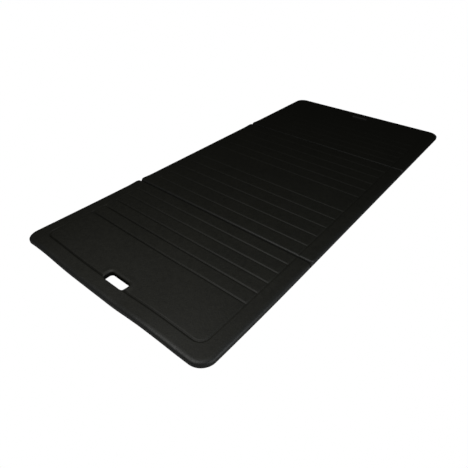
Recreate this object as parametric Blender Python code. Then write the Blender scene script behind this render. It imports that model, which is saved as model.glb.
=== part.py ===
"""Three-panel folding exercise mat of moulded closed-cell foam.

Each panel is a moulded top skin, a foam core and a moulded bottom skin. The
panels meet at two thin fold webs, close to the underside. The two end panels
have a hand slot. Grooves pressed in the top run across the panels, between the
sides of a border groove that follows the mat's edge.

Frame: origin at the centre of the underside, +X across the width, +Y along
the length from the near end to the far end, +Z up. Metres.
"""

import math
from typing import NamedTuple

import bmesh
import bpy

# ---------------------------------------------------------------- dimensions
WIDTH = 0.650            # mat width, along X
END_LENGTH = 0.397       # each end panel, end edge to fold line
MIDDLE_LENGTH = 0.606    # middle panel, fold line to fold line
THICKNESS = 0.015        # underside to top face

OUTER_CORNER_R = 0.038   # the mat's four corners
FOLD_TOP_CORNER_R = 0.008     # top skin corners at the fold lines
FOLD_BOTTOM_CORNER_R = 0.0034  # bottom skin corners at the fold lines
MIN_CORNER_R = 0.0016    # smallest corner of an inset outline
FOLD_HALF_GAP = 0.0036   # fold line to each panel's flank
GAP = 0.0003             # clearance between neighbouring pieces

TOP_PLATE = 0.0036       # top skin thickness under its flat face
BOTTOM_PLATE = 0.0018    # bottom skin thickness
RIM_WALL = 0.0060        # width of the skins' rim
SEAM_Z = 0.0072          # height of the seam between the two skins
TOP_EDGE_R = 0.0036      # rounding of the top edge
BOTTOM_EDGE_R = 0.0025   # rounding of the bottom edge

GROOVE_R = 0.0042        # radius of the tool that presses a groove
GROOVE_DEPTH = 0.0021    # groove depth below the top face
BORDER_INSET = 0.043     # outer edge to the border groove
BORDER_CORNER_R = 0.023  # corner of the border groove
BORDER_FOLD_OVERRUN = 0.002   # end border tools, past the fold line
BORDER_SLOT_OVERLAP = 0.006   # end border tools, into the slot's ends
GROOVES_PER_BAND = 5     # grooves beside each fold line, on each panel
END_PITCH = 0.0420       # groove spacing on the end panels
MIDDLE_PITCH = 0.0505    # groove spacing on the middle panel

SLOT_LENGTH = 0.072      # hand slot, along X
SLOT_WIDTH = 0.027       # hand slot, along Y
SLOT_CORNER_R = 0.0085
SLOT_INSET = 0.0535      # end edge to the slot's centre line
SLOT_TOOL_LOW, SLOT_TOOL_HIGH = -0.01, 0.03  # clear of both faces
CAVITY_OVERRUN = 0.002   # cavity tools, past the seam

WEB_THICKNESS = 0.0016   # fold web
WEB_LIFT = 0.0002        # underside of the web above the mat's underside
WEB_END_INSET = 0.0005   # web ends, inside the mat's side edges
WEB_CORNER_R = 0.0010

# segments in a quarter-circle corner
OUTER_STEPS = 10
FOLD_STEPS = 5
SLOT_STEPS = 6
BORDER_STEPS = 6
WEB_STEPS = 3

WELD_DISTANCE = 0.00001
FLAT_ANGLE = 0.002       # radians; flatter edges are dissolved
CRISP_ANGLE = math.radians(32)  # sharper edges are shaded crisp

TOTAL = END_LENGTH + MIDDLE_LENGTH + END_LENGTH
Y_NEAR_END = -TOTAL / 2
Y_FOLD_NEAR = Y_NEAR_END + END_LENGTH
Y_FOLD_FAR = Y_FOLD_NEAR + MIDDLE_LENGTH
Y_FAR_END = TOTAL / 2
HALF = WIDTH / 2
BORDER_X = HALF - BORDER_INSET
GROOVE_Z = THICKNESS + GROOVE_R - GROOVE_DEPTH   # height of a groove tool's axis

# --------------------------------------------------------------------- scene
for old in list(bpy.data.objects):
    bpy.data.objects.remove(old, do_unlink=True)

parts = bpy.data.collections.new("folding_exercise_mat")
cutters = bpy.data.collections.new("cutters")
for collection in (parts, cutters):
    bpy.context.scene.collection.children.link(collection)


def material(name, colour, roughness):
    mat = bpy.data.materials.new(name)
    mat.use_nodes = True
    shader = mat.node_tree.nodes["Principled BSDF"]
    shader.inputs["Base Color"].default_value = (*colour, 1.0)
    shader.inputs["Roughness"].default_value = roughness
    mat.diffuse_color = (*colour, 1.0)
    return mat


skin_top = material("moulded_skin_top", colour=(0.0130, 0.0132, 0.0125), roughness=0.62)
skin_bottom = material(
    "moulded_skin_underside", colour=(0.0160, 0.0160, 0.0158), roughness=0.75)
foam = material("closed_cell_foam", colour=(0.0300, 0.0300, 0.0310), roughness=0.92)
web_skin = material("fold_web_skin", colour=(0.0110, 0.0111, 0.0108), roughness=0.66)


# ------------------------------------------------------------------ outlines
def arc(centre_x, centre_y, radius, start, end, steps):
    """Points on an arc, both ends included; angles in degrees."""
    angles = [math.radians(start + (end - start) * i / steps) for i in range(steps + 1)]
    return [
        (centre_x + radius * math.cos(angle), centre_y + radius * math.sin(angle))
        for angle in angles
    ]


def rounded_rect(x0, x1, y0, y1, low, high):
    """Anticlockwise outline; low and high are (radius, steps) of the y0 and y1 corners."""
    r_low, steps_low = low
    r_high, steps_high = high
    return (
        arc(x0 + r_low, y0 + r_low, r_low, 180, 270, steps_low)
        + arc(x1 - r_low, y0 + r_low, r_low, 270, 360, steps_low)
        + arc(x1 - r_high, y1 - r_high, r_high, 0, 90, steps_high)
        + arc(x0 + r_high, y1 - r_high, r_high, 90, 180, steps_high)
    )


# -------------------------------------------------------------------- solids
def add_spline(data, points, z, closed):
    spline = data.splines.new("POLY")
    spline.points.add(len(points) - 1)
    for point, (x, y) in zip(spline.points, points):
        point.co = (x, y, z, 1.0)
    spline.use_cyclic_u = closed


def solid_from_curve(data, z, collection):
    """The curve's surface as a welded mesh object at height z; the curve goes."""
    name = data.name
    curve = bpy.data.objects.new(name + "_curve", data)
    curve.location = (0.0, 0.0, z)
    bpy.context.scene.collection.objects.link(curve)
    bpy.context.view_layer.update()
    evaluated = curve.evaluated_get(bpy.context.evaluated_depsgraph_get())
    mesh = bpy.data.meshes.new_from_object(evaluated)
    mesh.name = name
    bpy.data.objects.remove(curve, do_unlink=True)
    bpy.data.curves.remove(data)

    bm = bmesh.new()
    bm.from_mesh(mesh)
    bmesh.ops.remove_doubles(bm, verts=bm.verts, dist=WELD_DISTANCE)
    bmesh.ops.dissolve_limit(bm, angle_limit=FLAT_ANGLE, verts=bm.verts, edges=bm.edges)
    bmesh.ops.recalc_face_normals(bm, faces=bm.faces)
    bm.to_mesh(mesh)
    bm.free()

    obj = bpy.data.objects.new(name, mesh)
    obj.location = (0.0, 0.0, z)
    collection.objects.link(obj)
    return obj


def slab(name, outlines, z0, z1, collection=parts):
    """A flat outline, with any holes, made solid from z0 up to z1."""
    data = bpy.data.curves.new(name, "CURVE")
    data.dimensions = "2D"
    data.fill_mode = "BOTH"
    data.extrude = (z1 - z0) / 2
    for outline in outlines:
        add_spline(data, outline, z=0.0, closed=True)
    return solid_from_curve(data, (z0 + z1) / 2, collection)


def round_edge(obj, z, radius):
    """Rounds the edges of a slab's face at height z."""
    bm = bmesh.new()
    bm.from_mesh(obj.data)
    face_z = z - obj.location.z
    edges = [
        e for e in bm.edges
        if all(abs(v.co.z - face_z) < WELD_DISTANCE for v in e.verts)
    ]
    bmesh.ops.bevel(
        bm, geom=edges, offset=radius, segments=3, profile=0.5,
        affect="EDGES", clamp_overlap=True,
    )
    bm.to_mesh(obj.data)
    bm.free()


def finish(obj, mat, origin_y):
    """Gives a piece its material, and its origin at origin_y on the underside."""
    obj.data.materials.append(mat)
    dx, dy, dz = -obj.location.x, origin_y - obj.location.y, -obj.location.z
    for v in obj.data.vertices:
        v.co.x -= dx
        v.co.y -= dy
        v.co.z -= dz
    obj.location = (0.0, origin_y, 0.0)


# ------------------------------------------------------------------- cutters
def as_cutter(obj):
    obj.hide_render = True
    obj.display_type = "WIRE"
    return obj


def slab_tool(name, outlines, z0, z1):
    return as_cutter(slab(name, outlines, z0, z1, cutters))


def border_tool(name, path):
    """A round groove tool swept along a path."""
    data = bpy.data.curves.new(name, "CURVE")
    data.dimensions = "3D"
    data.bevel_depth = GROOVE_R
    data.bevel_resolution = 2
    data.use_fill_caps = True
    add_spline(data, path, z=GROOVE_Z, closed=False)
    return as_cutter(solid_from_curve(data, 0.0, cutters))


def groove_tool(name, y):
    """A round bar across the panel, between the two sides of the border groove."""
    bpy.ops.mesh.primitive_cylinder_add(
        vertices=16, radius=GROOVE_R, depth=2 * BORDER_X,
        location=(0.0, y, GROOVE_Z), rotation=(0.0, math.pi / 2, 0.0),
    )
    obj = bpy.context.object
    obj.name = name
    for collection in list(obj.users_collection):
        collection.objects.unlink(obj)
    cutters.objects.link(obj)
    return as_cutter(obj)


def cut(obj, cutter):
    mod = obj.modifiers.new("cut_" + cutter.name, "BOOLEAN")
    mod.operation = "DIFFERENCE"
    mod.solver = "EXACT"
    mod.object = cutter


# -------------------------------------------------------------------- panels
class Panel(NamedTuple):
    name: str
    y_low: float
    y_high: float
    end_side: int        # side that is the mat's end: -1 low y, +1 high y, 0 neither
    slot_y: float | None  # hand slot's centre line
    origin_y: float
    groove_ys: list
    border_paths: list

    def outline(self, inset=0.0, fold_r=FOLD_TOP_CORNER_R):
        def corner(side):
            at_end = self.end_side == side
            radius = OUTER_CORNER_R if at_end else fold_r
            return max(radius - inset, MIN_CORNER_R), OUTER_STEPS if at_end else FOLD_STEPS

        return rounded_rect(
            -HALF + inset, HALF - inset, self.y_low + inset, self.y_high - inset,
            corner(-1), corner(1),
        )

    def slot(self, outset=0.0):
        corner = (SLOT_CORNER_R + outset, SLOT_STEPS)
        return rounded_rect(
            -SLOT_LENGTH / 2 - outset, SLOT_LENGTH / 2 + outset,
            self.slot_y - SLOT_WIDTH / 2 - outset, self.slot_y + SLOT_WIDTH / 2 + outset,
            corner, corner,
        )

    def interior(self, wall):
        """Outlines of the space left inside a wall round the panel and its slot."""
        if self.slot_y is None:
            return [self.outline(wall)]
        return [self.outline(wall), self.slot(wall)]


def top_skin(panel):
    """The top skin, hollowed from below."""
    skin = slab(panel.name + "_top_skin", [panel.outline()], SEAM_Z + GAP / 2, THICKNESS)
    round_edge(skin, THICKNESS, TOP_EDGE_R)
    cut(skin, slab_tool(
        panel.name + "_top_cavity", panel.interior(RIM_WALL),
        SEAM_Z - CAVITY_OVERRUN, THICKNESS - TOP_PLATE))
    return skin


def bottom_skin(panel):
    """The bottom skin, hollowed from above."""
    outline = panel.outline(fold_r=FOLD_BOTTOM_CORNER_R)
    skin = slab(panel.name + "_bottom_skin", [outline], 0.0, SEAM_Z - GAP / 2)
    round_edge(skin, 0.0, BOTTOM_EDGE_R)
    cut(skin, slab_tool(
        panel.name + "_bottom_cavity", panel.interior(RIM_WALL),
        BOTTOM_PLATE, SEAM_Z + CAVITY_OVERRUN))
    return skin


def foam_core(panel):
    return slab(
        panel.name + "_foam_core", panel.interior(RIM_WALL + GAP),
        BOTTOM_PLATE + GAP, THICKNESS - TOP_PLATE - GAP)


def press_grooves(top, panel):
    for i, path in enumerate(panel.border_paths):
        cut(top, border_tool(f"{panel.name}_border_tool_{i}", path))
    for i, y in enumerate(panel.groove_ys):
        cut(top, groove_tool(f"{panel.name}_groove_tool_{i}", y))


def build_panel(panel):
    top = top_skin(panel)
    bottom = bottom_skin(panel)
    core = foam_core(panel)
    if panel.slot_y is not None:
        hole = slab_tool(
            panel.name + "_slot_tool", [panel.slot()], SLOT_TOOL_LOW, SLOT_TOOL_HIGH)
        cut(top, hole)
        cut(bottom, hole)
    press_grooves(top, panel)
    for obj, mat in ((top, skin_top), (core, foam), (bottom, skin_bottom)):
        finish(obj, mat, panel.origin_y)


def groove_band(y_fold, pitch):
    """Groove places counted from a fold line; a negative pitch runs toward -Y."""
    return [y_fold + pitch * (k + 1) for k in range(GROOVES_PER_BAND)]


def end_border(y_edge, inward, y_fold):
    """Border groove paths of an end panel, one each side of the hand slot.

    inward is +1 or -1 along Y, from the end edge into the panel. Each path
    runs down a side, turns at the corner, and runs into the slot's end.
    """
    y_line = y_edge + inward * BORDER_INSET
    paths = []
    for side in (-1, 1):
        outward = 0 if side > 0 else 180
        turn = arc(
            side * (BORDER_X - BORDER_CORNER_R), y_line + inward * BORDER_CORNER_R,
            BORDER_CORNER_R, outward, outward - side * inward * 90, BORDER_STEPS,
        )
        start = (side * BORDER_X, y_fold + inward * BORDER_FOLD_OVERRUN)
        end = (side * (SLOT_LENGTH / 2 - BORDER_SLOT_OVERLAP), y_line)
        paths.append([start, *turn, end])
    return paths


build_panel(Panel(
    name="near", y_low=Y_NEAR_END, y_high=Y_FOLD_NEAR - FOLD_HALF_GAP, end_side=-1,
    slot_y=Y_NEAR_END + SLOT_INSET, origin_y=Y_FOLD_NEAR,
    groove_ys=groove_band(Y_FOLD_NEAR, -END_PITCH),
    border_paths=end_border(Y_NEAR_END, 1, Y_FOLD_NEAR),
))
build_panel(Panel(
    name="middle", y_low=Y_FOLD_NEAR + FOLD_HALF_GAP, y_high=Y_FOLD_FAR - FOLD_HALF_GAP,
    end_side=0, slot_y=None, origin_y=0.0,
    groove_ys=groove_band(Y_FOLD_NEAR, MIDDLE_PITCH) + groove_band(Y_FOLD_FAR, -MIDDLE_PITCH),
    border_paths=[[(x, Y_FOLD_NEAR), (x, Y_FOLD_FAR)] for x in (-BORDER_X, BORDER_X)],
))
build_panel(Panel(
    name="far", y_low=Y_FOLD_FAR + FOLD_HALF_GAP, y_high=Y_FAR_END, end_side=1,
    slot_y=Y_FAR_END - SLOT_INSET, origin_y=Y_FOLD_FAR,
    groove_ys=groove_band(Y_FOLD_FAR, END_PITCH),
    border_paths=end_border(Y_FAR_END, -1, Y_FOLD_FAR),
))


# ----------------------------------------------------------------- fold webs
def fold_web(name, y_fold):
    """A thin strip filling the gap between two panels, just clear of their flanks."""
    reach = FOLD_HALF_GAP - GAP
    half_length = HALF - WEB_END_INSET
    corner = (WEB_CORNER_R, WEB_STEPS)
    outline = rounded_rect(
        -half_length, half_length, y_fold - reach, y_fold + reach, corner, corner)
    web = slab(name, [outline], WEB_LIFT, WEB_LIFT + WEB_THICKNESS)
    finish(web, web_skin, y_fold)


fold_web("near_fold_web", Y_FOLD_NEAR)
fold_web("far_fold_web", Y_FOLD_FAR)

# round pieces are shaded smooth, with their flat faces kept crisp
for part in parts.objects:
    part.data.shade_smooth()
    part.data.set_sharp_from_angle(angle=CRISP_ANGLE)
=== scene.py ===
"""Looks of a folding exercise mat: three moulded panels joined by two fold webs.

The mat lies flat with its underside on z = 0, centred across X. The near,
middle and far panels follow one another along +Y. Each panel is a top skin
and a bottom skin around a foam core; the two end panels have a hand slot.
"""

import math

import bpy
import numpy as np
from mathutils import Matrix, Vector, noise
from mathutils.geometry import delaunay_2d_cdt


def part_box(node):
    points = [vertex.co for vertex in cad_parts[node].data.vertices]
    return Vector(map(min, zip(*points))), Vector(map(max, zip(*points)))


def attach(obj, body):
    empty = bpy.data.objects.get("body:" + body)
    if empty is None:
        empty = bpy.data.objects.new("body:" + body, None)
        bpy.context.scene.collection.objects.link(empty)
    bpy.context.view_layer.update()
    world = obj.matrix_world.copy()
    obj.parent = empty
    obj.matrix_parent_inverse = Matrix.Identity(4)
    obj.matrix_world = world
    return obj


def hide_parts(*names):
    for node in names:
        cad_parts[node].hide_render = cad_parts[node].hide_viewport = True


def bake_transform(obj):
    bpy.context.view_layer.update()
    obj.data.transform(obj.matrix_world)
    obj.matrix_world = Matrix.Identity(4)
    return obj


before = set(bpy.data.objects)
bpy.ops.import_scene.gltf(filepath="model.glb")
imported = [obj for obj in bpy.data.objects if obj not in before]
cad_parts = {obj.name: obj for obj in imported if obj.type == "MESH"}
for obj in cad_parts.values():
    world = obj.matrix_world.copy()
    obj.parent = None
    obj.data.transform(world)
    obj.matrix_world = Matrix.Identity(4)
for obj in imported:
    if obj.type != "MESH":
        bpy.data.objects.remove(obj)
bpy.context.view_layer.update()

# ------------------------------------------------------------ sizes (metres)
near_low, near_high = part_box("near_top_skin")
middle_low, middle_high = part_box("middle_top_skin")
far_low, far_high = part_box("far_top_skin")
HALF = middle_high.x                   # half the mat's width
THICK = middle_high.z
FOLD_NEAR = (near_high.y + middle_low.y) / 2
FOLD_FAR = (middle_high.y + far_low.y) / 2
END_NEAR, END_FAR = near_low.y, far_high.y
FOLD_GAP = (middle_low.y - near_high.y) / 2   # fold line to a panel's flank

SEAM_TOP = middle_low.z                # parting plane, upper and lower face
SEAM_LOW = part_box("middle_bottom_skin")[1].z
CEILING = 0.0114                       # inner face of the top skin
FLOOR_IN = 0.0018                      # inner face of the bottom skin
SKIN_RIM = 0.0060                      # width of the welded rim

# Plan radius of a panel's corners: at the mat's ends, then at a fold by height.
CORNER_R = 0.038
FOLD_R_TOP, FOLD_R_SEAM, FOLD_R_BOTTOM = 0.0110, 0.0078, 0.0038
FOLD_R_LOW_IN = 0.0016                 # inside the bottom skin
FOLD_R_FOAM = 0.0092                   # the foam's, before its inset
ARC_START = (180, 270, 0, 90)          # degrees, corners anticlockwise from low left
END_ARC_STEPS, FOLD_ARC_STEPS = 16, 8

# Rounding of the top edge: how far it reaches (across, down).
RIM_ROUND = np.array((0.0115, 0.0070))
NOTCH_ROUND = np.array((0.0062, 0.0054))      # on the sides, where a fold begins
NEAR_FOLD_ROUND = np.array((0.0060, 0.0056))
FAR_FOLD_ROUND = np.array((0.0025, 0.0025))
NOTCH_RUN = 0.035                      # length over which a side's rounding recovers
ROUND_STEPS = 8
RIM_FLAT = 0.0011                      # from the rounding to the innermost edge ring
# Rounding of each panel's fold edges, by its end of the mat (-1, 0, +1).
FOLD_EDGES = {
    -1: {"high": NEAR_FOLD_ROUND * 0.40},
    0: {"low": NEAR_FOLD_ROUND, "high": FAR_FOLD_ROUND},
    1: {"low": FAR_FOLD_ROUND},
}
BOTTOM_R = 0.0026                      # rounding of the underside's edge
BOTTOM_WALL = ((0.0055, 0.0058), (0.0040, 0.0047),    # height, fold corner radius
               (BOTTOM_R, FOLD_R_BOTTOM))

BORDER = 0.043                         # mat's edge to the border groove
BORDER_X = HALF - BORDER
BORDER_R = 0.023
GROOVE_W = 0.0046                      # half width of a moulded groove
GROOVE_D = 0.0022
SIDE_GROOVE = (0.20, 0.60)             # depth of the left and right side grooves
SIDE_FADE = 0.05                       # run over which they lose depth
PITCH_END, PITCH_MID, BANDS = 0.0420, 0.0505, 5
PROFILE = [k * 0.2 * GROOVE_W for k in range(-6, 7)]   # mesh lines across a groove

SLOT_L, SLOT_W, SLOT_R = 0.072, 0.027, 0.0085
SLOT_INSET = 0.0535                    # mat's end to the slot's centre line
SLOT_ACROSS, SLOT_DOWN = 0.0026, 0.0030       # rounding of the slot's top edge
SLOT_FLAT = SLOT_ACROSS + 0.0006       # outermost ring of the slot's top edge
SLOT_BOTTOM_R = 0.0011
SLOT_OVERLAP = 0.004                   # how far a border groove runs past the slot's end
RECESS_W = 0.0068                      # dished rim on the slot's inner side
LIP_W = 0.0200                         # rim and the low lip around it
LIP_SHAPE = {-1: (0.0013, 0.0008, 0.0130),    # dish depth, lip height, lip fall
             1: (0.0002, 0.0021, 0.0060)}

RIPPLES = ((0.00011, 16.0), (0.00005, 37.0))  # height and scale of the unevenness
SURFACE_DROP = 0.00012                 # keeps the ripples below the full thickness

# Lift of the near end off the floor, at stations across the mat.
CURL_X = (-0.325, -0.300, -0.275, -0.250, -0.210, -0.170, -0.130, -0.090,
          0.060, 0.090, 0.120, 0.150, 0.180, 0.215, 0.250, 0.325)
CURL_Z = (0.0020, 0.0055, 0.0084, 0.0092, 0.0080, 0.0038, 0.0006, 0.0000,
          0.0004, 0.0042, 0.0070, 0.0090, 0.0094, 0.0092, 0.0080, 0.0093)
CURL_SHARP = 2.2                       # how late the near end starts to rise
CURL_START = 0.02                      # flat strip beside the near fold

STEP = 0.011                           # spacing of surface points
LOOSE_MARGIN = 0.0155                  # panel's edge to the top's loose points
ACROSS_X, ACROSS_COUNT = 0.275, 51     # even stations along a panel's low and high edge
FOLD_X = (0.2935, 0.3015, 0.3085)      # stations outside the border grooves, at folds

FOAM_GAP = 0.0003                      # between skins and foam
FOAM_EASE = 0.0009                     # eased edges of the foam


# ------------------------------------------------------------- small helpers
def unit(t):
    return np.clip(t, 0, 1)


def smooth(t):
    t = unit(t)
    return t * t * (3 - 2 * t)


def mix(a, b, t):
    return a + (b - a) * t


def quarter_round(k, steps):
    """Fractions (aside, below) of step k on a rounding, from wall to flat face."""
    angle = math.pi / 2 * k / steps
    return 1 - math.cos(angle), 1 - math.sin(angle)


def rounded_turn(start, corner, stop, radius, steps=12):
    """Path from start to stop, rounded where it turns at the corner."""
    start, corner, stop = Vector(start), Vector(corner), Vector(stop)
    back, on = (start - corner).normalized(), (stop - corner).normalized()
    half_turn = math.acos(max(-1.0, min(1.0, back.dot(on)))) / 2
    centre = corner + (back + on).normalized() * (radius / math.sin(half_turn))
    first = corner + back * (radius / math.tan(half_turn)) - centre
    last = corner + on * (radius / math.tan(half_turn)) - centre
    angle = math.atan2(first.y, first.x)
    turn = (math.atan2(last.y, last.x) - angle + math.pi) % (2 * math.pi) - math.pi
    path = [start]
    for k in range(steps + 1):
        t = angle + turn * k / steps
        path.append(centre + Vector((math.cos(t), math.sin(t))) * radius)
    return path + [stop]


def resample(path, step):
    """Evenly spaced points along a path, keeping its two ends."""
    run = [0.0]
    for a, b in zip(path, path[1:]):
        run.append(run[-1] + (b - a).length)
    count = max(2, round(run[-1] / step))
    out, j = [], 0
    for k in range(count + 1):
        distance = run[-1] * k / count
        while j < len(path) - 2 and run[j + 1] < distance:
            j += 1
        span = run[j + 1] - run[j]
        t = 0.0 if span < 1e-12 else (distance - run[j]) / span
        out.append(path[j].lerp(path[j + 1], min(1.0, max(0.0, t))))
    return out


def shifted(path, offset):
    """The path moved sideways, to the left of its direction."""
    out = []
    for i, p in enumerate(path):
        before = path[max(0, i - 1)]
        after = path[min(len(path) - 1, i + 1)]
        along = (after - before).normalized()
        out.append(p + Vector((-along.y, along.x)) * offset)
    return out


def distance_to(path, x, y):
    """Distances from points (arrays) to a polyline."""
    best = np.full(len(x), 1e9)
    for a, b in zip(path, path[1:]):
        dx, dy = b.x - a.x, b.y - a.y
        t = unit(((x - a.x) * dx + (y - a.y) * dy) / (dx * dx + dy * dy))
        best = np.minimum(best, np.hypot(x - a.x - t * dx, y - a.y - t * dy))
    return best


def inside(polygon, x, y):
    """Which points (arrays) lie inside a closed polygon."""
    hit = np.zeros(len(x), bool)
    for (x1, y1), (x2, y2) in zip(polygon, polygon[1:] + polygon[:1]):
        if y1 != y2:
            hit ^= ((y1 > y) != (y2 > y)) & (x < (x2 - x1) * (y - y1) / (y2 - y1) + x1)
    return hit


def groove_profile(distance):
    """Depth of a moulded groove at a distance from its centre line."""
    distance = np.minimum(np.abs(distance), GROOVE_W)
    return GROOVE_D * 0.5 * (1.0 + np.cos(math.pi * distance / GROOVE_W))


# --------------------------------------------------------------- panel layout
class Panel:
    """Outline, grooves, slot and top surface of one panel.

    end is the panel's end of the mat: -1 near, 0 neither, +1 far. Its edges
    are "low" and "high" in Y, "left" and "right" in X.
    """

    def __init__(self, name, y0, y1, end, grooves):
        self.name, self.y0, self.y1, self.end = name, y0, y1, end
        self.grooves = grooves
        self.folds = FOLD_EDGES[end]
        if end:
            self.end_y, fold_y = (y0, y1) if end < 0 else (y1, y0)
            self.slot_y = self.end_y - end * SLOT_INSET
            self.border_y = self.end_y - end * BORDER
            self.borders = [
                rounded_turn((side * BORDER_X, fold_y), (side * BORDER_X, self.border_y),
                             (side * (SLOT_L / 2 - SLOT_OVERLAP), self.border_y), BORDER_R)
                for side in (-1, 1)]
        else:
            self.borders = [[Vector((side * BORDER_X, y0)), Vector((side * BORDER_X, y1))]
                            for side in (-1, 1)]
        self.samples = self.outline_samples()

    # ---- outline, as points that keep their place from ring to ring
    def outline_samples(self):
        """Outline points, anticlockwise from low left.

        Each is (edge, coordinate along it) or (corner number 0-3, turn 0-1).
        """
        def across(edge):
            stations = list(np.linspace(-ACROSS_X, ACROSS_X, ACROSS_COUNT))
            limit = HALF - CORNER_R - 0.003
            if edge in self.folds:
                stations += [s * BORDER_X + offset for s in (-1, 1) for offset in PROFILE]
                stations += [s * v for s in (-1, 1) for v in FOLD_X]
                limit = HALF - FOLD_R_TOP - 0.002
            kept = {round(float(v), 6) for v in stations if abs(v) <= limit}
            return [(edge, v) for v in sorted(kept)]

        def along(edge):
            low = self.y0 + (CORNER_R if self.end < 0 else FOLD_R_TOP) + 0.003
            high = self.y1 - (CORNER_R if self.end > 0 else FOLD_R_TOP) - 0.003
            return [(edge, float(v)) for v in np.linspace(low, high, round((high - low) / STEP))]

        def arc(corner):
            at_fold = ("low" if corner < 2 else "high") in self.folds
            steps = FOLD_ARC_STEPS if at_fold else END_ARC_STEPS
            return [(corner, k / steps) for k in range(steps + 1)]

        return (arc(0) + across("low") + arc(1) + along("right")
                + arc(2) + across("high")[::-1] + arc(3) + along("left")[::-1])

    def outline(self, fold_r, inset=0.0, shift=0.0):
        """Arrays x, y of the samples, for a given corner radius at the folds.

        inset draws the whole outline smaller; shift then moves each point
        along its inward normal.
        """
        low, high, half = self.y0 + inset, self.y1 - inset, HALF - inset
        placed = []                    # x, y and inward normal
        for edge, at in self.samples:
            if edge == "low":
                placed.append((at, low, 0.0, 1.0))
            elif edge == "high":
                placed.append((at, high, 0.0, -1.0))
            elif edge == "right":
                placed.append((half, at, -1.0, 0.0))
            elif edge == "left":
                placed.append((-half, at, 1.0, 0.0))
            else:
                at_fold = ("low" if edge < 2 else "high") in self.folds
                r = fold_r if at_fold else CORNER_R - inset
                centre_x = (half - r) * (1 if edge in (1, 2) else -1)
                centre_y = low + r if edge < 2 else high - r
                angle = math.radians(ARC_START[edge] + 90 * at)
                cos, sin = math.cos(angle), math.sin(angle)
                placed.append((centre_x + r * cos, centre_y + r * sin, -cos, -sin))
        x, y, normal_x, normal_y = np.array(placed).T
        return x + normal_x * shift, y + normal_y * shift

    def rounding(self, edge, at):
        """How far the top edge's rounding reaches across and down at a sample."""
        if edge in ("low", "high"):
            return self.folds.get(edge, RIM_ROUND)
        if edge in ("left", "right"):
            away = 1.0
            if "low" in self.folds:
                away = min(away, smooth((at - self.y0 - FOLD_R_TOP) / NOTCH_RUN))
            if "high" in self.folds:
                away = min(away, smooth((self.y1 - FOLD_R_TOP - at) / NOTCH_RUN))
            return mix(NOTCH_ROUND, RIM_ROUND, away)
        fold_round = self.folds.get("low" if edge < 2 else "high")
        if fold_round is None:
            return RIM_ROUND
        # corners 0 and 2 turn from the side into the fold, 1 and 3 out of it
        return mix(NOTCH_ROUND, fold_round, smooth(at if edge in (0, 2) else 1.0 - at))

    def slot_ring(self, out):
        """Arrays x, y of the slot's outline moved outwards, anticlockwise."""
        centre_x, centre_y = SLOT_L / 2 - SLOT_R, SLOT_W / 2 - SLOT_R
        r = SLOT_R + out
        corners = ((-1, -1), (1, -1), (1, 1), (-1, 1))
        points = []
        for q, (sign_x, sign_y) in enumerate(corners):
            start = 180 + 90 * q
            for k in range(13):
                angle = math.radians(start + 90 * k / 12)
                points.append((sign_x * centre_x + r * math.cos(angle),
                               sign_y * centre_y + r * math.sin(angle)))
            x0, y0 = points[-1]
            next_x, next_y = corners[(q + 1) % 4]
            x1 = next_x * centre_x + r * math.cos(angle)
            y1 = next_y * centre_y + r * math.sin(angle)
            count = 44 if q in (0, 2) else 8
            points += [(mix(x0, x1, k / count), mix(y0, y1, k / count))
                       for k in range(1, count)]
        x, y = np.array(points).T
        return x, y + self.slot_y

    def slot_distance(self, x, y):
        out_x = np.abs(x) - (SLOT_L / 2 - SLOT_R)
        out_y = np.abs(y - self.slot_y) - (SLOT_W / 2 - SLOT_R)
        return (np.hypot(np.maximum(out_x, 0), np.maximum(out_y, 0))
                + np.minimum(np.maximum(out_x, out_y), 0) - SLOT_R)

    # ---- surface
    def groove_depth(self, x, y):
        depth = np.zeros(len(x))
        fade = 1.0
        if self.end:
            fade = smooth((np.abs(y - self.border_y) - BORDER_R * 0.4) / SIDE_FADE)
        for path, side_depth in zip(self.borders, SIDE_GROOVE):
            share = 1.0 + (side_depth - 1.0) * fade
            depth = np.maximum(depth, share * groove_profile(distance_to(path, x, y)))
        past_border = np.maximum(np.abs(x) - BORDER_X, 0)
        for groove in self.grooves:
            depth = np.maximum(depth, groove_profile(np.hypot(y - groove, past_border)))
        return depth

    def lip(self, x, y):
        """Dished rim and low lip round the slot, fading out on its outer side."""
        if not self.end:
            return 0.0
        distance = np.clip(self.slot_distance(x, y), 0, LIP_W)
        dish, height, fall = LIP_SHAPE[self.end]
        shape = ((dish + height) * smooth(distance / RECESS_W) - dish
                 - height * smooth((distance - RECESS_W) / fall))
        inward = (y - self.slot_y) * -self.end
        return shape * smooth((inward + SLOT_W / 2 - 0.003) / 0.012)

    def groove_shade_at(self, x, y):
        """Painted shade in the grooves, 0 to 1, strongest at the mat's near end; it also makes
        the skin a little less rough.
        """
        near = 0.25 + 0.75 * smooth((-0.36 - y) / 0.12)
        if self.end < 0:               # less painted shade towards the right
            near *= 1.0 - 0.35 * unit((x + 0.05) / 0.25)
        within = unit((BORDER_X - 0.006 - np.abs(x)) / 0.012)
        return self.groove_depth(x, y) / GROOVE_D * near * (0.15 + 0.85 * within)

    def ripple(self, x, y):
        """The moulded foam's slight unevenness, in metres."""
        return np.array([
            sum(height * noise.noise(Vector((a, b, 3.7)) * scale) for height, scale in RIPPLES)
            for a, b in zip(x, y)])

    def field(self, x, y):
        """Height of the top face, without any edge rounding."""
        return (THICK - self.groove_depth(x, y) + self.lip(x, y) + self.ripple(x, y)
                - SURFACE_DROP)

    def eased(self, x, y, down, below):
        """Height on an edge rounding, into which the grooves fade."""
        return self.field(x, y) + (self.groove_depth(x, y) - down) * below

    def lift(self, x, y):
        """How far the near end curls off the floor, in metres."""
        if self.end >= 0:
            return 0.0
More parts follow.
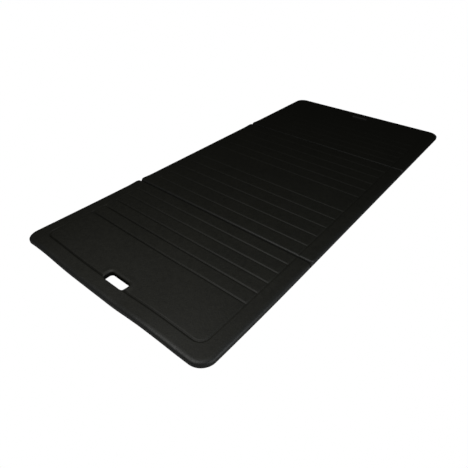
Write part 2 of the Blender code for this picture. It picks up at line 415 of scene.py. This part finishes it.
        # the stations' lift, smoothed by a 12 mm bell curve on 1 mm steps
        fine = np.linspace(-0.45, 0.45, 901)
        rise = np.interp(fine, CURL_X, CURL_Z)
        kernel = np.exp(-0.5 * (np.arange(-60, 61) / 12.0) ** 2)
        rise = np.convolve(np.pad(rise, 60, mode="edge"), kernel / kernel.sum(), "valid")
        start = self.y1 - CURL_START
        return np.interp(x, fine, rise) * unit((start - y) / (start - self.y0)) ** CURL_SHARP

    # ---- loose points for the faces
    def grid(self, step, margin, keep):
        """Points over the panel, staggered by row, where keep(x, y) holds."""
        points = []
        for row, y in enumerate(np.arange(self.y0 + margin, self.y1 - margin, step)):
            start = -HALF + margin + (step / 2 if row % 2 else 0)
            points += [(x, y) for x in np.arange(start, HALF - margin, step)]
        x, y = np.array(points).T
        kept = keep(x, y)
        return list(zip(x[kept].tolist(), y[kept].tolist()))

    def clear_of_slot(self, gap):
        """A test for points clear of the slot and of the mat's corners."""
        def clear(x, y):
            if not self.end:
                return np.ones(len(x), bool)
            corner = (np.abs(y - self.end_y) < 0.045) & (np.abs(x) > HALF - 0.045)
            return (self.slot_distance(x, y) > gap) & ~corner
        return clear


# --------------------------------------------------------------- mesh builder
class Shell:
    """A mesh made of rings of points, strips between them and filled faces."""

    def __init__(self):
        self.rows = []                 # x, y, z, then three colour masks: edge tint (wear and painted highlight), groove shade and slot-wall shade (both painted shade)
        self.faces = []

    def ring(self, x, y, z, wear_and_sheen=0.0, pressed=0.0, cut=0.0):
        """Add points given as arrays or single values; returns their indices."""
        start = len(self.rows)
        columns = np.broadcast_arrays(x, y, z, wear_and_sheen, pressed, cut)
        self.rows += zip(*(column.tolist() for column in columns))
        return list(range(start, len(self.rows)))

    def chain(self, rings, flip=False):
        """Join each ring to the next with a strip of quads."""
        for a, b in zip(rings, rings[1:]):
            for i in range(len(a)):
                j = (i + 1) % len(a)
                quad = (a[i], a[j], b[j], b[i])
                self.faces.append(quad[::-1] if flip else quad)

    def fill(self, outer, holes, height, points, up, lines=(),
             pressed=lambda x, y: 0.0):
        """A triangulated face inside a ring, with holes, lines and loose points.

        lines holds lists of (x, y) points, or indices of ring points, joined in
        order; height gives the height of points that aren't on a ring.
        """
        coords, source, edges = [], [], []
        known = {}

        def add(point):
            if not isinstance(point, int):
                coords.append(Vector(point))
                source.append(None)
                return len(coords) - 1
            if point not in known:
                known[point] = len(coords)
                coords.append(Vector(self.rows[point][:2]))
                source.append(point)
            return known[point]

        for loop in [outer, *holes]:
            numbers = [add(i) for i in loop]
            edges += zip(numbers, numbers[1:] + numbers[:1])
        for line in lines:
            numbers = [add(p) for p in line]
            edges += zip(numbers, numbers[1:])
        for point in points:
            add(point)
        verts, _, faces, origins, _, _ = delaunay_2d_cdt(coords, edges, [], 0, 1e-7, True)

        index = [None] * len(verts)    # mesh index of each triangulated point
        for k, origin in enumerate(origins):
            for s in origin:
                if source[s] is not None:
                    index[k] = source[s]
        triangles = np.array([tuple(face) for face in faces])
        flat = np.array([tuple(v) for v in verts])
        mid_x, mid_y = flat[triangles].mean(axis=1).T
        keep = inside([self.rows[i][:2] for i in outer], mid_x, mid_y)
        for hole in holes:
            keep &= ~inside([self.rows[i][:2] for i in hole], mid_x, mid_y)
        triangles = triangles[keep]
        fresh = [k for k in sorted(set(triangles.ravel().tolist())) if index[k] is None]
        x, y = flat[fresh, 0], flat[fresh, 1]
        for k, new in zip(fresh, self.ring(x, y, height(x, y), pressed=pressed(x, y))):
            index[k] = new
        for triangle in triangles:
            face = tuple(index[k] for k in triangle)
            p, q, r = (self.rows[i] for i in face)
            turn = (q[0] - p[0]) * (r[1] - p[1]) - (q[1] - p[1]) * (r[0] - p[0])
            self.faces.append(face if (turn > 0) == up else face[::-1])

    def build(self, name, material, panel=None, sharp=38.0):
        """The finished object, curled with its panel, creased above sharp degrees."""
        table = np.array(self.rows)
        if panel is not None:
            table[:, 2] += panel.lift(table[:, 0], table[:, 1])
        mesh = bpy.data.meshes.new(name)
        mesh.from_pydata(table[:, :3].tolist(), [], self.faces)
        mesh.validate()
        mesh.update()
        for column, key in enumerate(("wear_and_sheen", "pressed", "cut"), start=3):
            attribute = mesh.attributes.new(key, "FLOAT", "POINT")
            attribute.data.foreach_set("value", table[:, column].astype(np.float32))
        mesh.shade_smooth()
        mesh.set_sharp_from_angle(angle=math.radians(sharp))
        mesh.materials.append(material)
        obj = bpy.data.objects.new(name, mesh)
        bpy.context.scene.collection.objects.link(obj)
        return obj


# ------------------------------------------------------------------- top skin
def top_wall(shell, panel):
    """Outer wall of the top skin; returns its innermost top and inside rings."""
    across, down = np.array([panel.rounding(*sample) for sample in panel.samples]).T
    inner = panel.outline(FOLD_R_SEAM - SKIN_RIM, inset=SKIN_RIM)
    rings = [
        shell.ring(*inner, CEILING),
        shell.ring(*inner, SEAM_TOP),
        # the edge rings get a paler bluish tint: part wear, part painted highlight
        shell.ring(*panel.outline(FOLD_R_SEAM), SEAM_TOP, wear_and_sheen=0.25),
        shell.ring(*panel.outline(FOLD_R_TOP), THICK - down, wear_and_sheen=0.6),
    ]
    for k in range(1, ROUND_STEPS + 1):
        aside, below = quarter_round(k, ROUND_STEPS)
        x, y = panel.outline(FOLD_R_TOP, shift=across * aside)
        # the paler bluish tint, part wear and part painted highlight, is strongest at 42 degrees
        # round the edge
        wear_and_sheen = max(0.0, 1.0 - abs(90 * k / ROUND_STEPS - 42) / 55)
        rings.append(shell.ring(x, y, panel.eased(x, y, down, below),
                                wear_and_sheen=wear_and_sheen * (down / RIM_ROUND[1]) ** 1.5,
                                pressed=panel.groove_shade_at(x, y)))
    x, y = panel.outline(FOLD_R_TOP, shift=across + RIM_FLAT)
    rings.append(shell.ring(x, y, panel.field(x, y), pressed=panel.groove_shade_at(x, y)))
    shell.chain(rings)
    return rings[-1], rings[0]


def top_slot(shell, panel):
    """The slot's wall in the top skin; returns its top and inside rings."""
    # painted shade on the slot's wall and the foot of its rounding: full at the near slot, faint
    # at the far one
    dark = 1.0 if panel.end < 0 else 0.15
    rings = [
        shell.ring(*panel.slot_ring(SKIN_RIM), CEILING),
        shell.ring(*panel.slot_ring(SKIN_RIM), SEAM_TOP),
        shell.ring(*panel.slot_ring(0.0), SEAM_TOP, cut=dark),
    ]
    for k in range(7):
        aside, below = quarter_round(k, 6)
        x, y = panel.slot_ring(SLOT_ACROSS * aside)
        rings.append(shell.ring(x, y, panel.eased(x, y, SLOT_DOWN, below),
                                cut=dark * max(0.0, 1.0 - k / 3.0)))
    x, y = panel.slot_ring(SLOT_FLAT)
    rings.append(shell.ring(x, y, panel.field(x, y)))
    shell.chain(rings, flip=True)
    return rings[-1], rings[0]


def groove_lines(shell, panel, rim):
    """Mesh lines along the grooves, at fixed offsets from each centre line."""
    rim_at = {sample: i for sample, i in zip(panel.samples, rim)}
    toward = panel.end or 1            # the way side lines run along Y
    lines = []

    def side_spans(start_y, stop_y, gap):
        """Stretches of a side line, with a gap at every crossing groove."""
        spans, y = [], start_y
        for groove in sorted(panel.grooves, reverse=toward < 0):
            spans.append((y, groove - gap * toward))
            y = groove + gap * toward
        return spans + [(y, stop_y)]

    def straight(x, start_y, stop_y):
        count = max(1, round(abs(stop_y - start_y) / STEP))
        return [(x, mix(start_y, stop_y, k / count)) for k in range(count + 1)]

    for side, border in zip((-1, 1), panel.borders):
        for offset in PROFILE:
            x = side * BORDER_X + offset
            key = round(x, 6)
            inward = -offset * side    # above 0 towards the mat's middle
            start = rim_at["high" if panel.end < 0 else "low", key]
            start_y = shell.rows[start][1]
            if panel.end:
                moved = shifted(border, -panel.end * offset)
                stop_y = moved[1].y
            else:
                stop = rim_at["high", key]
                stop_y = shell.rows[stop][1]
            spans = [(start_y, stop_y)]
            if inward > 0:
                spans = side_spans(start_y, stop_y, inward)
            runs = [straight(x, *span) for span in spans]
            runs[0][0] = start
            if not panel.end:
                runs[-1][-1] = stop
            lines += runs
            if panel.end:
                curve_x, curve_y = np.array([tuple(p) for p in resample(moved[1:], 0.004)]).T
                kept = panel.slot_distance(curve_x, curve_y) > SLOT_FLAT + 0.0005
                lines.append(list(zip(curve_x[kept].tolist(), curve_y[kept].tolist())))
    for groove in panel.grooves:
        for offset in PROFILE:
            end_x = BORDER_X - abs(offset)
            count = round(2 * end_x / STEP)
            lines.append([(mix(-end_x, end_x, k / count), groove + offset)
                          for k in range(count + 1)])
    return lines


def top_points(panel):
    """Loose points of the top face: a grid, and close rings round the slot."""
    keep_clear = PROFILE[-1] + 0.0035

    def clear(x, y):
        ok = np.ones(len(x), bool)
        for path in panel.borders:
            ok &= distance_to(path, x, y) > keep_clear
        for groove in panel.grooves:
            ok &= (np.abs(y - groove) > keep_clear) | (np.abs(x) > BORDER_X + keep_clear)
        if panel.end:
            ok &= panel.slot_distance(x, y) > LIP_W + 0.004
            # the mat's corners
            centre_y = panel.end_y - panel.end * CORNER_R
            corner = ((y - centre_y) * panel.end > 0) & (np.abs(x) > HALF - CORNER_R)
            radius = np.hypot(np.abs(x) - (HALF - CORNER_R), y - centre_y)
            ok &= ~(corner & (radius > CORNER_R - LOOSE_MARGIN))
        return ok

    points = panel.grid(STEP, LOOSE_MARGIN, clear)
    if panel.end:
        for out in np.arange(SLOT_ACROSS + 0.0016, LIP_W + 0.002, 0.0011):
            x, y = panel.slot_ring(float(out))
            kept = np.ones(len(x), bool)
            for path in panel.borders:
                kept &= distance_to(path, x, y) > PROFILE[-1] + 0.0006
            points += zip(x[kept].tolist(), y[kept].tolist())
    return points


def top_skin(panel, material):
    shell = Shell()
    rim, ceiling = top_wall(shell, panel)
    top_holes, inner_holes = [], []
    if panel.end:
        hole_top, hole_inner = top_slot(shell, panel)
        top_holes, inner_holes = [hole_top], [hole_inner]
    shell.fill(rim, top_holes, panel.field, top_points(panel), up=True,
               lines=groove_lines(shell, panel, rim), pressed=panel.groove_shade_at)

    def clear(x, y):
        if not panel.end:
            return np.ones(len(x), bool)
        return ((panel.slot_distance(x, y) > SKIN_RIM + 0.01)
                & (np.abs(y - panel.end_y) > 0.04))

    shell.fill(ceiling, inner_holes, lambda x, y: CEILING,
               panel.grid(0.03, 0.02, clear), up=False)
    return shell.build(f"{panel.name}_top_skin_moulded", material, panel)


# ---------------------------------------------------------------- bottom skin
def bottom_slot(shell, panel):
    """The slot's wall in the bottom skin; returns its underside and inside rings."""
    rings = [
        shell.ring(*panel.slot_ring(SKIN_RIM), FLOOR_IN),
        shell.ring(*panel.slot_ring(SKIN_RIM), SEAM_LOW),
        # painted shade on the underside's slot wall
        shell.ring(*panel.slot_ring(0.0), SEAM_LOW, cut=1.0),
    ]
    for k in range(6):
        aside, below = quarter_round(k, 5)
        rings.append(shell.ring(*panel.slot_ring(SLOT_BOTTOM_R * aside),
                                SLOT_BOTTOM_R * below, cut=1.0 - k / 5.0))
    rings.append(shell.ring(*panel.slot_ring(0.0018), 0.0))
    shell.chain(rings)
    return rings[-1], rings[0]


def bottom_skin(panel, material):
    shell = Shell()
    inner = panel.outline(FOLD_R_LOW_IN, inset=SKIN_RIM)
    rings = [
        shell.ring(*inner, FLOOR_IN),
        shell.ring(*inner, SEAM_LOW),
        # the underside's edge rings get the paler bluish tint too: part wear, part painted
        # highlight
        shell.ring(*panel.outline(FOLD_R_SEAM), SEAM_LOW, wear_and_sheen=0.25),
    ]
    for z, fold_r in BOTTOM_WALL:
        rings.append(shell.ring(*panel.outline(fold_r), z, wear_and_sheen=0.3))
    for k in range(1, 7):
        aside, below = quarter_round(k, 6)
        rings.append(shell.ring(*panel.outline(FOLD_R_BOTTOM, shift=BOTTOM_R * aside),
                                BOTTOM_R * below, wear_and_sheen=0.5))
    rings.append(shell.ring(*panel.outline(FOLD_R_BOTTOM, shift=BOTTOM_R + 0.0009), 0.0))
    shell.chain(rings, flip=True)

    low_holes, inner_holes = [], []
    if panel.end:
        hole_low, hole_inner = bottom_slot(shell, panel)
        low_holes, inner_holes = [hole_low], [hole_inner]
    points = panel.grid(0.018, 0.014, panel.clear_of_slot(SKIN_RIM + 0.006))
    shell.fill(rings[-1], low_holes, lambda x, y: 0.0, points, up=False)
    shell.fill(rings[0], inner_holes, lambda x, y: FLOOR_IN, points, up=True)
    return shell.build(f"{panel.name}_bottom_skin_moulded", material,
                       panel)


# ------------------------------------------------------------------ foam core
def foam_core(panel, material):
    """The foam block inside a panel's skins, with eased edges and uneven faces."""
    shell = Shell()
    low, high = FLOOR_IN + FOAM_GAP, CEILING - FOAM_GAP
    side = SKIN_RIM + FOAM_GAP
    ease = FOAM_EASE
    levels = ((ease, low), (ease * 0.3, low + ease * 0.3), (0.0, low + ease),
              (0.0, high - ease), (ease * 0.3, high - ease * 0.3), (ease, high))
    block = [shell.ring(*panel.outline(FOLD_R_FOAM - (side + inset), inset=side + inset), z)
             for inset, z in levels]
    shell.chain(block)
    low_holes, high_holes = [], []
    if panel.end:
        slot = [shell.ring(*panel.slot_ring(side + inset), z) for inset, z in levels]
        shell.chain(slot, flip=True)
        low_holes, high_holes = [slot[0]], [slot[-1]]

    def uneven(level, sign):
        def height(x, y):
            return np.array([
                level + sign * (0.00010 * noise.noise(Vector((a, b, 9.1)) * 60.0) - 0.0001)
                for a, b in zip(x, y)])
        return height

    points = panel.grid(0.014, 0.018, panel.clear_of_slot(side + 0.006))
    shell.fill(block[0], low_holes, uneven(low, -1.0), points, up=False)
    shell.fill(block[-1], high_holes, uneven(high, 1.0), points, up=True)
    return shell.build(f"{panel.name}_foam_core_block", material, panel)


# ------------------------------------------------------------------ fold webs
def fold_web(name, fold_y, material):
    """The thin strip that joins two panels, thickening into both flanks."""
    shell = Shell()
    end_x = HALF - 0.0007
    end_steps = (0.0, 0.0002, 0.0006, 0.0012, 0.002, 0.003, 0.0042, 0.0056, 0.0075)
    stations = sorted([-end_x + step for step in end_steps]
                      + list(np.arange(-end_x + 0.010, end_x - 0.0099, 0.012))
                      + [end_x - step for step in end_steps])
    top = np.linspace(-1, 1, 17)       # across the web, flank to flank
    low = top[::-2]
    at_flank = np.abs(low) > 0.99
    sections = []
    for x in stations:
        into_corner = max(0.0, abs(x) - (HALF - FOLD_R_BOTTOM))
        flare = FOLD_R_BOTTOM - math.sqrt(max(0.0, FOLD_R_BOTTOM ** 2 - into_corner ** 2))
        half_width = FOLD_GAP - 0.00006 + flare
        tuck = max(0.0, 0.0006 - (end_x - abs(x)))      # rounded ends
        fade = smooth((end_x - abs(x)) / 0.006)
        top_z = 0.0016 + (0.0006 + 0.0018 * fade) * np.abs(top) ** 2.6 - tuck * 0.8
        low_z = (0.0004 - 0.0003 * (1 - low ** 2) + tuck * 0.5
                 + np.where(at_flank, 0.0005, 0.0))
        low_y = fold_y + low * half_width * np.where(at_flank, 0.93, 1.0)
        sections.append(shell.ring(x, np.append(fold_y + top * half_width, low_y),
                                   np.append(top_z, low_z)))
    shell.chain(sections, flip=True)
    for ring, flip in ((sections[0], True), (sections[-1], False)):
        # each end is closed with five-sided faces between the top and bottom rows
        upper, lower = ring[:17], ring[17:][::-1]
        for k in range(len(lower) - 1):
            face = (upper[2 * k], lower[k], lower[k + 1], upper[2 * k + 2], upper[2 * k + 1])
            shell.faces.append(face[::-1] if flip else face)
    return shell.build(name, material, sharp=50.0)


# ------------------------------------------------------------------ materials
class Nodes:
    """A material with a Principled shader, and short ways to add nodes to it."""

    def __init__(self, name):
        self.material = bpy.data.materials.new(name)
        self.material.use_nodes = True
        self.tree = self.material.node_tree
        self.tree.nodes.clear()
        output = self.new("ShaderNodeOutputMaterial")
        self.shader = self.new("ShaderNodeBsdfPrincipled")
        self.link(self.shader.outputs[0], output.inputs[0])

    def new(self, kind, **settings):
        node = self.tree.nodes.new(kind)
        for key, value in settings.items():
            setattr(node, key, value)
        return node

    def link(self, output, target):
        self.tree.links.new(output, target)

    def feed(self, target, value):
        """Give an input a number, a colour or a link."""
        if isinstance(value, tuple):
            target.default_value = (*value, 1.0)
        elif isinstance(value, (int, float)):
            target.default_value = value
        else:
            self.link(value, target)

    def position(self):
        return self.new("ShaderNodeTexCoord").outputs["Object"]

    def attribute(self, name):
        return self.new("ShaderNodeAttribute", attribute_name=name).outputs["Fac"]

    def noise(self, vector, scale, detail, rough):
        node = self.new("ShaderNodeTexNoise")
        node.inputs["Scale"].default_value = scale
        node.inputs["Detail"].default_value = detail
        node.inputs["Roughness"].default_value = rough
        self.link(vector, node.inputs["Vector"])
        return node.outputs["Fac"]

    def cell_edges(self, vector, scale):
        """Distance to the nearest edge between Voronoi cells."""
        node = self.new("ShaderNodeTexVoronoi", feature="DISTANCE_TO_EDGE")
        node.inputs["Scale"].default_value = scale
        self.link(vector, node.inputs["Vector"])
        return node.outputs["Distance"]

    def math(self, operation, a, b):
        node = self.new("ShaderNodeMath", operation=operation)
        self.feed(node.inputs[0], a)
        self.feed(node.inputs[1], b)
        return node.outputs[0]

    def remap(self, value, source, target):
        """A value taken from the source range to the target range."""
        node = self.new("ShaderNodeMapRange")
        self.link(value, node.inputs["Value"])
        node.inputs["From Min"].default_value, node.inputs["From Max"].default_value = source
        node.inputs["To Min"].default_value, node.inputs["To Max"].default_value = target
        return node.outputs["Result"]

    def tint(self, colour, factor):
        """colour multiplied by a value."""
        rgb = self.new("ShaderNodeRGB")
        rgb.outputs[0].default_value = (*colour, 1.0)
        node = self.new("ShaderNodeVectorMath", operation="SCALE")
        self.link(rgb.outputs[0], node.inputs[0])
        self.link(factor, node.inputs["Scale"])
        return node.outputs[0]

    def blend(self, factor, a, b):
        node = self.new("ShaderNodeMix", data_type="RGBA")
        self.link(factor, node.inputs["Factor"])
        self.feed(node.inputs[6], a)
        self.feed(node.inputs[7], b)
        return node.outputs[2]

    def bump(self, height, strength, distance, normal=None):
        node = self.new("ShaderNodeBump")
        node.inputs["Strength"].default_value = strength
        node.inputs["Distance"].default_value = distance
        self.link(height, node.inputs["Height"])
        if normal is not None:
            self.link(normal, node.inputs["Normal"])
        return node.outputs["Normal"]


MID_RANGE = (0.3, 0.7)                 # the part of a noise's range that is used


def skin_material(name, colour, wear_and_sheen_colour, roughness, grain_scale, grain_depth, mottle):
    """Matte moulded foam skin: fine grain and cloudy tone; paler bluish edges, part wear and
    part painted highlight; painted shade in the grooves and on the slot walls.
    """
    n = Nodes(name)
    pos = n.position()
    cloud = n.noise(pos, scale=95.0, detail=3.0, rough=0.6)
    patch = n.noise(pos, scale=9.0, detail=2.0, rough=0.5)
    fine = n.noise(pos, scale=420.0, detail=2.0, rough=0.6)
    tone = n.math("ADD",
                  n.remap(cloud, source=MID_RANGE, target=(-mottle * 0.5, mottle * 0.5)),
                  n.remap(patch, source=MID_RANGE, target=(-mottle * 0.3, mottle * 0.3)))
    tone = n.math("ADD", tone,
                  n.remap(fine, source=(0.25, 0.75), target=(-mottle * 1.6, mottle * 1.6)))
    tone = n.math("ADD", tone, 1.0)
    base = n.tint(colour, tone)

    # edges are paler and bluer in patches, part wear and part painted highlight; the grooves and
    # the slot walls get painted shade, blended towards near black
    wear_and_sheen = n.attribute("wear_and_sheen")
    pressed = n.attribute("pressed")
    wear_and_sheen_breakup = n.remap(n.noise(pos, scale=60.0, detail=3.0, rough=0.6),
                    source=(0.35, 0.65), target=(0.6, 1.0))
    base = n.blend(n.math("MULTIPLY", wear_and_sheen, wear_and_sheen_breakup), base, wear_and_sheen_colour)
    # this mask carries the painted shade of the slot walls
    cut = n.attribute("cut")
    # painted shade of the grooves and slot walls, blended towards near black
    painted_shade = n.math("ADD", n.math("MULTIPLY", cut, 0.62), n.math("MULTIPLY", pressed, 0.55))
    base = n.blend(painted_shade, base, (0.0010, 0.0010, 0.0009))
    n.link(base, n.shader.inputs["Base Color"])

    rough = n.remap(cloud, source=MID_RANGE, target=(roughness - 0.03, roughness + 0.03))
    rough = n.math("SUBTRACT", rough, n.math("MULTIPLY", wear_and_sheen, 0.15))
    rough = n.math("SUBTRACT", rough, n.math("MULTIPLY", pressed, 0.05))
    n.link(rough, n.shader.inputs["Roughness"])

    # bumps from coarse to fine
    pebbles = n.remap(n.cell_edges(pos, scale=grain_scale),
                      source=(0.0, 0.35), target=(0.0, 1.0))
    normal = n.bump(n.noise(pos, scale=75.0, detail=2.5, rough=0.55),
                    strength=0.40, distance=0.0006)
    normal = n.bump(n.noise(pos, scale=300.0, detail=2.0, rough=0.55),
                    strength=0.60, distance=0.00050, normal=normal)
    normal = n.bump(pebbles, strength=0.45, distance=grain_depth, normal=normal)
    normal = n.bump(n.noise(pos, scale=grain_scale * 2.4, detail=3.0, rough=0.6),
                    strength=0.35, distance=grain_depth * 0.6, normal=normal)
    n.link(normal, n.shader.inputs["Normal"])
    # painted shade also takes most of the reflection from the grooves and slot walls
    n.link(n.math("MULTIPLY", n.math("SUBTRACT", 1.0, painted_shade), 0.5),
           n.shader.inputs["Specular IOR Level"])
    return n.material


def foam_material(name):
    """Cut closed-cell foam: pale-edged cells over dark grey."""
    n = Nodes(name)
    pos = n.position()
    wall = n.remap(n.cell_edges(pos, scale=900.0), source=(0.0, 0.12), target=(1.0, 0.0))
    cloud = n.noise(pos, scale=30.0, detail=3.0, rough=0.6)
    tone = n.remap(cloud, source=MID_RANGE, target=(0.85, 1.15))
    base = n.tint((0.030, 0.030, 0.031), tone)
    base = n.blend(wall, base, (0.052, 0.052, 0.053))
    n.link(base, n.shader.inputs["Base Color"])
    n.link(n.remap(cloud, source=MID_RANGE, target=(0.86, 0.96)),
           n.shader.inputs["Roughness"])
    normal = n.bump(wall, strength=0.6, distance=0.0003)
    normal = n.bump(n.noise(pos, scale=2200.0, detail=2.0, rough=0.6),
                    strength=0.3, distance=0.0001, normal=normal)
    n.link(normal, n.shader.inputs["Normal"])
    return n.material


# the second colour of each skin is the paler bluish edge tint: part wear, part painted highlight
top_material = skin_material(
    "matte_foam_skin_top", colour=(0.0131, 0.0130, 0.0100),
    wear_and_sheen_colour=(0.0190, 0.0200, 0.0205), roughness=0.60,
    grain_scale=520.0, grain_depth=0.00025, mottle=0.30)
bottom_material = skin_material(
    "matte_foam_skin_underside", colour=(0.0150, 0.0149, 0.0128),
    wear_and_sheen_colour=(0.0210, 0.0212, 0.0216), roughness=0.72,
    grain_scale=380.0, grain_depth=0.00030, mottle=0.08)
web_material = skin_material(
    "fold_web_skin_flexed", colour=(0.0116, 0.0115, 0.0092),
    wear_and_sheen_colour=(0.0190, 0.0192, 0.0196), roughness=0.58,
    grain_scale=560.0, grain_depth=0.00018, mottle=0.07)
foam = foam_material("closed_cell_foam_cut")

# --------------------------------------------------------------------- pieces
PIECES = (("top_skin", top_skin, top_material),
          ("bottom_skin", bottom_skin, bottom_material),
          ("foam_core", foam_core, foam))


def paint_cad(node, material):
    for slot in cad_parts[node].material_slots:
        slot.material = material


for part, _, material in PIECES:
    for side in ("near", "middle", "far"):
        paint_cad(f"{side}_{part}", material)
for side in ("near", "far"):
    paint_cad(f"{side}_fold_web", web_material)


def grooves_from(fold_y, pitch):
    """Places of the cross grooves, counted away from a fold."""
    return [fold_y + pitch * (k + 1) for k in range(BANDS)]


panels = (
    Panel("near", END_NEAR, FOLD_NEAR - FOLD_GAP, -1, grooves_from(FOLD_NEAR, -PITCH_END)),
    Panel("middle", FOLD_NEAR + FOLD_GAP, FOLD_FAR - FOLD_GAP, 0,
          grooves_from(FOLD_NEAR, PITCH_MID) + grooves_from(FOLD_FAR, -PITCH_MID)),
    Panel("far", FOLD_FAR + FOLD_GAP, END_FAR, 1, grooves_from(FOLD_FAR, PITCH_END)),
)
for panel in panels:
    for part, make, material in PIECES:
        piece = make(panel, material)
        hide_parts(f"{panel.name}_{part}")
        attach(piece, f"{panel.name}_panel")

for side, fold_y, panel_before, panel_after in (
    ("near", FOLD_NEAR, "near_panel", "middle_panel"),
    ("far", FOLD_FAR, "middle_panel", "far_panel"),
):
    web = fold_web(f"{side}_fold_web_strip", fold_y, web_material)
    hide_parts(f"{side}_fold_web")
    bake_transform(web)

# --------------------------------------------------------------------- studio
scene = bpy.context.scene

FLOOR_Z = -0.0004
OPENING_R = 0.032
OPENING_X = HALF - 0.006
OPENING_NEAR, OPENING_FAR = END_NEAR + 0.012, END_FAR - 0.006
FLOOR_SPREAD_X, FLOOR_SPREAD_Y = 90, 45       # floor's edge against the opening


def studio_floor():
    """Paper open under the mat, so the underside and a panel folded under it
    stay lit; the mat hides the opening at rest."""
    right, far = OPENING_X - OPENING_R, OPENING_FAR - OPENING_R
    left, near = -right, OPENING_NEAR + OPENING_R
    opening = []
    for x, y, start in ((right, far, 0), (left, far, 90), (left, near, 180),
                        (right, near, 270)):
        for k in range(7):
            angle = math.radians(start + 15 * k)
            opening.append((x + OPENING_R * math.cos(angle), y + OPENING_R * math.sin(angle)))
    count = len(opening)
    mesh = bpy.data.meshes.new("studio_floor")
    mesh.from_pydata(
        [(x, y, FLOOR_Z) for x, y in opening]
        + [(x * FLOOR_SPREAD_X, y * FLOOR_SPREAD_Y, FLOOR_Z) for x, y in opening], [],
        [(k, count + k, count + (k + 1) % count, (k + 1) % count) for k in range(count)])
    floor = bpy.data.objects.new("studio_floor", mesh)
    scene.collection.objects.link(floor)
    floor.visible_camera = False       # bounces light; the white world shows
    paper = bpy.data.materials.new("studio_floor_paper")
    paper.use_nodes = True
    shader = paper.node_tree.nodes["Principled BSDF"]
    shader.inputs["Base Color"].default_value = (0.55, 0.55, 0.56, 1.0)
    shader.inputs["Roughness"].default_value = 0.9
    shader.inputs["Specular IOR Level"].default_value = 0.1
    mesh.materials.append(paper)


def studio_world():
    """White to the camera, a faint warm fill to everything else."""
    world = bpy.data.worlds.new("studio_world")
    scene.world = world
    world.use_nodes = True
    tree = world.node_tree
    tree.nodes.clear()
    output = tree.nodes.new("ShaderNodeOutputWorld")
    switch = tree.nodes.new("ShaderNodeMixShader")
    path = tree.nodes.new("ShaderNodeLightPath")
    seen = tree.nodes.new("ShaderNodeBackground")
    seen.inputs["Color"].default_value = (1, 1, 1, 1)
    seen.inputs["Strength"].default_value = 1.0
    fill = tree.nodes.new("ShaderNodeBackground")
    fill.inputs["Color"].default_value = (1.0, 0.99, 0.82, 1)
    fill.inputs["Strength"].default_value = 0.025
    tree.links.new(path.outputs["Is Camera Ray"], switch.inputs["Fac"])
    tree.links.new(fill.outputs[0], switch.inputs[1])
    tree.links.new(seen.outputs[0], switch.inputs[2])
    tree.links.new(switch.outputs[0], output.inputs["Surface"])


def softbox(name, place, aim, size, power, colour):
    """A square area light at a place, facing a point."""
    data = bpy.data.lights.new(name, "AREA")
    data.shape = "SQUARE"
    data.size = size
    data.energy = power
    data.color = colour
    light = bpy.data.objects.new(name, data)
    light.location = place
    light.rotation_mode = "QUATERNION"
    light.rotation_quaternion = (Vector(aim) - Vector(place)).to_track_quat("-Z", "Y")
    scene.collection.objects.link(light)


studio_floor()
studio_world()
softbox("key_softbox", place=(0.05, -0.80, 0.80), aim=(0.05, -0.45, 0.0),
        size=0.30, power=3.30, colour=(1.0, 1.0, 0.97))
softbox("side_softbox", place=(1.06, -0.40, 0.38), aim=(0.30, -0.40, 0.0),
        size=0.50, power=2.9, colour=(0.92, 0.97, 1.0))
softbox("under_softbox", place=(-0.35, -0.35, -1.50), aim=(0.0, 0.0, 0.0),
        size=0.60, power=8.0, colour=(1.0, 1.0, 0.98))

# --------------------------------------------------------------------- camera
CAMERA_LENS = 30.460431                # mm, on a 36 mm wide sensor
# measured from the mat's left side, the near fold and the floor
CAMERA_PLACE = Vector((0.9585559 - HALF, FOLD_NEAR - 0.6868905, 0.6713033))
CAMERA_AXES = Matrix((
    (0.774687569, 0.632333216, 0.00372496617),       # right
    (-0.390508857, 0.473772563, 0.789330343),        # up
    (0.497355008, -0.612939037, 0.613957436),        # back
))

camera_data = bpy.data.cameras.new("photo_camera")
camera_data.sensor_fit = "HORIZONTAL"
camera_data.sensor_width = 36.0
camera_data.lens = CAMERA_LENS
camera_data.clip_start, camera_data.clip_end = 0.01, 100.0
camera = bpy.data.objects.new("photo_camera", camera_data)
camera.matrix_world = (Matrix.Translation(CAMERA_PLACE)
                       @ CAMERA_AXES.transposed().to_4x4())
scene.collection.objects.link(camera)
scene.camera = camera

scene.view_settings.view_transform = "Standard"
scene.view_settings.look = "None"
scene.view_settings.exposure = 0.0
scene.view_settings.gamma = 1.0

bpy.context.view_layer.update()
